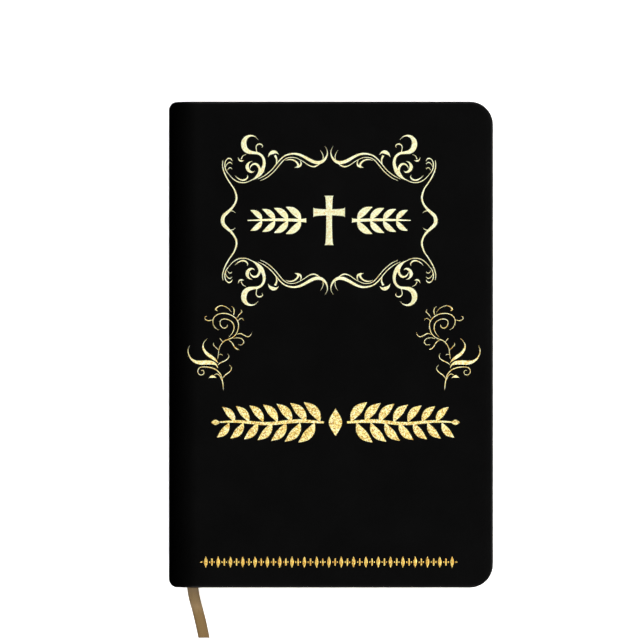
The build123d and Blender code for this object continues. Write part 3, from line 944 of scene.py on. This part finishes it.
vine_strokes = [
    # foot, low spiral and pointed leaf
    [(52.1, -21.4, 0.3), (52.3, -18.8, 0.8), (52.7, -16.4, 0.9), (52.9, -15.4, 0.4)],
    [(52.5, -16.2, 0.5), (53.6, -13.8, 0.9), (55.6, -11.8, 0.9), (58.2, -10.8, 0.9), (60.6, -10.5, 0.7)]
    + curl(62.3, -12.8, 2.2, 0.6, 80, -370, 0.65, 0.5, 11),
    [(52.9, -16.8, 0.5), (53.7, -14.9, 0.7), (55.1, -13.8, 0.6), (56.4, -14.3, 0.5)],
    [(58.9, -15.6, 0.15), (57.5, -15.0, 2.0), (56.4, -15.2, 1.5), (55.4, -15.6, 0.15)],
    # two long blades
    [(54.7, -11.0, 0.4), (55.5, -9.5, 1.3), (57.3, -8.6, 2.6), (59.9, -8.4, 3.0), (62.9, -8.5, 2.9),
     (65.4, -8.0, 2.1), (67.4, -6.5, 1.4), (68.6, -4.2, 0.9), (68.7, -2.2, 0.6), (68.0, -0.5, 0.15)],
    [(54.7, -8.5, 0.4), (56.1, -7.0, 1.8), (58.2, -5.5, 2.4), (60.1, -4.0, 2.1), (61.5, -1.8, 1.6),
     (61.6, 0.2, 0.8), (60.7, 1.8, 0.5), (59.6, 2.8, 0.15)],
    # twigs towards the middle
    [(54.8, -9.6, 0.3), (53.5, -8.6, 0.8), (51.4, -7.6, 0.8), (49.9, -6.5, 0.7), (49.5, -5.3, 0.5),
     (50.0, -4.3, 0.15)],
    [(52.4, -15.8, 0.3), (51.2, -14.3, 0.9), (49.4, -13.0, 0.8), (48.4, -11.7, 0.7), (48.5, -10.4, 0.4),
     (49.4, -9.5, 0.15)],
    # stem that rises into the open ring
    [(54.8, -6.8, 0.4), (54.4, -4.0, 0.6), (54.1, -1.8, 0.6), (53.0, 0.3, 0.65), (51.5, 1.8, 0.65),
     (50.0, 2.4, 0.8), (47.9, 3.3, 0.75), (46.1, 5.0, 0.7), (45.2, 7.3, 0.75), (45.0, 9.8, 0.75),
     (46.0, 12.0, 0.8), (47.9, 13.6, 0.85), (50.2, 14.5, 0.85), (52.8, 14.7, 0.8), (55.2, 14.0, 0.75),
     (56.8, 12.3, 0.7), (57.0, 10.2, 0.6), (56.1, 8.1, 0.55), (54.4, 6.8, 0.2)],
    [(49.6, 3.5, 0.25), (48.0, 5.3, 0.55), (47.1, 7.6, 0.75), (47.5, 9.9, 0.8), (49.2, 11.5, 0.75),
     (51.7, 12.1, 0.75), (53.5, 11.2, 0.7), (53.5, 9.2, 0.7), (52.1, 7.8, 0.75), (50.6, 8.2, 0.7),
     (50.1, 9.4, 0.5)],
    # hooks and tips around the ring
    [(57.1, 11.7, 0.4), (59.0, 11.3, 0.65), (60.6, 11.9, 0.65), (60.7, 13.0, 0.5), (59.9, 13.4, 0.25)],
    [(48.2, 15.2, 0.25), (50.0, 17.2, 0.5), (52.6, 18.3, 0.6), (54.6, 17.9, 0.8), (55.7, 16.7, 1.2),
     (55.0, 16.0, 0.7)],
    [(47.3, 14.0, 0.7), (47.0, 16.0, 0.9), (47.5, 17.4, 0.5), (48.3, 18.0, 0.15)],
    [(45.8, 12.5, 0.4), (44.6, 14.2, 0.7), (43.4, 15.5, 0.65), (43.9, 16.6, 0.15)],
    [(45.3, 10.8, 0.35), (44.5, 12.0, 0.5), (43.2, 12.3, 0.5), (42.6, 11.3, 0.3)],
    [(45.8, 4.8, 0.35), (44.0, 5.2, 0.8), (42.3, 4.4, 0.75), (40.5, 3.7, 0.8), (39.2, 4.6, 0.5),
     (38.7, 5.9, 0.15)],
    [(47.6, 2.9, 0.35), (45.3, 3.2, 0.55), (43.4, 2.7, 0.65), (42.5, 1.2, 0.65), (43.5, -0.1, 0.55),
     (45.2, 0.0, 0.25)],
    [(49.6, 2.1, 0.4), (48.1, 1.0, 0.8), (47.0, -0.9, 0.9), (45.8, -2.0, 0.9), (44.7, -2.3, 0.25)],
    [(54.3, -2.6, 0.4), (55.8, -1.2, 0.6), (56.8, -0.1, 0.55), (56.6, 1.0, 0.15)],
    [(52.5, 1.4, 0.4), (53.5, 2.6, 0.75), (53.8, 2.9, 0.5)],
    [(54.5, -4.9, 0.3), (53.6, -4.5, 0.5), (52.5, -5.0, 0.5)],
]

# cross with flared arms, and a leafy sprig on each side
cross_strokes = [
    [(0.0, -11.6, 4.8), (0.0, -10.4, 3.6), (0.0, -4.0, 2.9), (0.0, 4.0, 2.9), (0.0, 10.4, 3.6),
     (0.0, 11.6, 4.8)],
    [(-7.4, 3.8, 4.8), (-6.2, 3.8, 3.6), (0.0, 3.8, 2.9), (6.2, 3.8, 3.6), (7.4, 3.8, 4.8)],
]
sprig_strokes = [
    [(10.8, 0.0, 2.3), (13.0, 0.0, 1.5), (24.0, 0.3, 1.3), (38.4, 0.0, 0.4)],
]
for n in range(4):
    root = 13.4 + 6.1 * n
    size = 1 - 0.08 * n
    for side in (1, -1):
        sprig_strokes.append([
            (root, side * 0.2, 0.4),
            (root + 1.4 * size, side * 2.6 * size, 3.0 * size),
            (root + 3.8 * size, side * 4.8 * size, 3.0 * size),
            (root + 6.9 * size, side * 6.3 * size, 0.2),
        ])

# two leafy branches that meet at a lozenge
band_strokes = [
    [(5.5, 0.0, 1.0), (18.0, 0.6, 1.8), (32.0, -0.6, 1.6), (46.0, 0.4, 1.3), (57.0, 0.0, 0.4)],
]
for n in range(7):
    root = 7.4 + 6.7 * n
    size = 1.0 - 0.04 * n
    for side in (1, -1):
        shift = root + (0.0 if side > 0 else 2.6)
        band_strokes.append([
            (shift, side * 0.4, 0.6),
            (shift + 1.4 * size, side * 3.6 * size, 4.0 * size),
            (shift + 3.8 * size, side * 6.6 * size, 4.4 * size),
            (shift + 7.4 * size, side * 9.4 * size, 0.2),
        ])
band_strokes.append([(54.5, 0.0, 0.3), (56.5, 0.0, 2.8), (58.5, 0.0, 0.3)])
lozenge_strokes = [[(0.0, -6.4, 0.2), (0.0, 0.0, 7.0), (0.0, 6.4, 0.2)]]

# row of lozenges, bars and dots along the foot
border_strokes = []
for n in range(-10, 11):
    x = n * 5.8
    border_strokes.append([(x, -2.6, 0.2), (x, 0.0, 2.2), (x, 2.6, 0.2)])
    if n < 10:
        border_strokes.append([(x + 2.9, -1.7, 0.7), (x + 2.9, 0.0, 1.0), (x + 2.9, 1.7, 0.7)])
        for offset in (1.85, 3.95):
            border_strokes.append([(x + offset, -0.35, 0.7), (x + offset, 0.35, 0.7)])
border_strokes += [[(-60.6, 0.0, 0.3), (-59.6, 0.0, 1.1)], [(59.6, 0.0, 1.1), (60.6, 0.0, 0.3)]]

FRAME_CENTRE = (-0.7, 58.5)
VINE_MIRROR = (1.6, 0.0)
BAND_CENTRE = (2.3, -36.6)
BORDER_CENTRE = (-0.8, -102.4)
PRESS_MARGIN = 1.1
ONCE = [(1, 1)]
SIDES = [(1, 1), (-1, 1)]
QUARTERS = [(1, 1), (-1, 1), (1, -1), (-1, -1)]
FRAME_PEN = (0.6, 1.3)
SIDE_PEN = (0.8, 1.05)
SPIKE_PEN = (0.68, 1.0)
VINE_PEN = (0.5, 1.25)
BAND_PEN = (0.94, 1.0)
BORDER_PEN = (0.8, 1.0)
PLAIN_PEN = (0.98, 1.0)
stamps = [
    ("title_frame", "title_frame_foil", frame_strokes, FRAME_CENTRE, QUARTERS, FRAME_PEN, pale_foil),
    ("frame_sides", "title_frame_foil", side_strokes, FRAME_CENTRE, SIDES, SIDE_PEN, pale_foil),
    ("frame_spikes", "title_frame_foil", spike_strokes, FRAME_CENTRE, QUARTERS, SPIKE_PEN, pale_foil),
    ("cross", "cross_foil", cross_strokes, FRAME_CENTRE, ONCE, PLAIN_PEN, pale_foil),
    ("cross_sprigs", "cross_foil", sprig_strokes, FRAME_CENTRE, SIDES, PLAIN_PEN, pale_foil),
    ("vine_left", "vine_left_foil", vine_strokes, VINE_MIRROR, [(-1, 1)], VINE_PEN, vine_foil),
    ("vine_right", "vine_right_foil", vine_strokes, VINE_MIRROR, ONCE, VINE_PEN, vine_foil),
    ("branch_band", "branch_band_foil", band_strokes, BAND_CENTRE, SIDES, BAND_PEN, glitter_foil),
    ("branch_lozenge", "branch_band_foil", lozenge_strokes, BAND_CENTRE, ONCE, BAND_PEN, glitter_foil),
    ("lower_border", "lower_border_foil", border_strokes, BORDER_CENTRE, ONCE, BORDER_PEN, deep_foil),
]
for name, cad_node, strokes, centre, flips, pen, material in stamps:
    foil = stamped(f"{name}_gold", strokes, centre, flips, FOIL_H, pen, 0.0, material)
    sharpen(foil, 50)
    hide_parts(cad_node)
    halo = stamped(f"{name}_press", strokes, centre, flips, PRESS_H, pen, PRESS_MARGIN, pressed)
    for piece in (foil, halo):
        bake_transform(piece)


# ---- CAD nodes that stay ----
kept = {
    "front_cover_board": board_paper,
    "back_cover_board": board_paper,
    "spine_lining": board_paper,
    "mull": gauze,
    "sewing_thread": linen,
}
for name, material in kept.items():
    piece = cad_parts[name]
    piece.data.materials.clear()
    piece.data.materials.append(material)


# ---- studio ----
FLOOR_R = 2.5
SOFTBOX_AWAY = 1.6
KEY_LIFT = 38
SHEEN_LIFT = 24
WORLD_LIGHT = 0.03


def studio_ground():
    """Round floor under the book, and a bowl round it that fills the view behind."""
    white = floor_material()
    bowl_profile = [(FLOOR_R, 0.0), (6.0, 0.0), (9.0, 0.6), (12.0, 2.6), (14.0, 6.0), (14.5, 12.0)]
    around = 48
    turns = [2 * math.pi * k / around for k in range(around)]
    edge = [(FLOOR_R * math.cos(t), FLOOR_R * math.sin(t), 0) for t in turns]
    floor = mesh_object("floor", edge, [tuple(range(around))], [white])
    verts = [(r * math.cos(t), r * math.sin(t), z) for r, z in bowl_profile for t in turns]
    faces = []
    for ring in range(len(bowl_profile) - 1):
        for k in range(around):
            a, b = ring * around + k, ring * around + (k + 1) % around
            faces.append((a, b, b + around, a + around))
    backdrop = mesh_object("backdrop", verts, faces, [white])
    # neither is mirrored in the cover, and the bowl sheds no light on the book
    floor.visible_glossy = False
    backdrop.visible_glossy = False
    backdrop.visible_diffuse = False


def softbox(name, azimuth, elevation, size, power):
    """Square area light that faces the book."""
    light = bpy.data.lights.new(name, "AREA")
    light.shape = "RECTANGLE"
    light.size = size
    light.size_y = size
    light.energy = power
    lamp = bpy.data.objects.new(name, light)
    turn, lift = math.radians(azimuth), math.radians(elevation)
    away = Vector((math.cos(lift) * math.cos(turn), math.cos(lift) * math.sin(turn), math.sin(lift)))
    lamp.location = away * SOFTBOX_AWAY
    lamp.rotation_euler = away.to_track_quat("Z", "Y").to_euler()
    lamp.visible_camera = False
    bpy.context.scene.collection.objects.link(lamp)
    return lamp


studio_ground()
for side, azimuth, power in (("fore", 0, 19), ("head", 95, 19), ("tail", 265, 19), ("spine", 180, 4)):
    lamp = softbox(f"softbox_{side}", azimuth, KEY_LIFT, 1.0, power)
    # the spine side only gets fill light, so the rounded back stays dark from above
    lamp.visible_glossy = side != "spine"

# low boxes that only show as a soft sheen on the leather and foil in side views
for azimuth in (45, 135, 225, 315):
    lamp = softbox(f"sheen_{azimuth}", azimuth, SHEEN_LIFT, 1.1, 1.8)
    lamp.visible_diffuse = False

world = bpy.data.worlds.new("studio")
world.use_nodes = True
world.node_tree.nodes["Background"].inputs["Color"].default_value = (1, 1, 1, 1)
world.node_tree.nodes["Background"].inputs["Strength"].default_value = WORLD_LIGHT
bpy.context.scene.world = world
# the leather would mirror an even world as a grey veil on its steep sides
world.cycles_visibility.glossy = False
bpy.context.scene.view_settings.view_transform = "Standard"
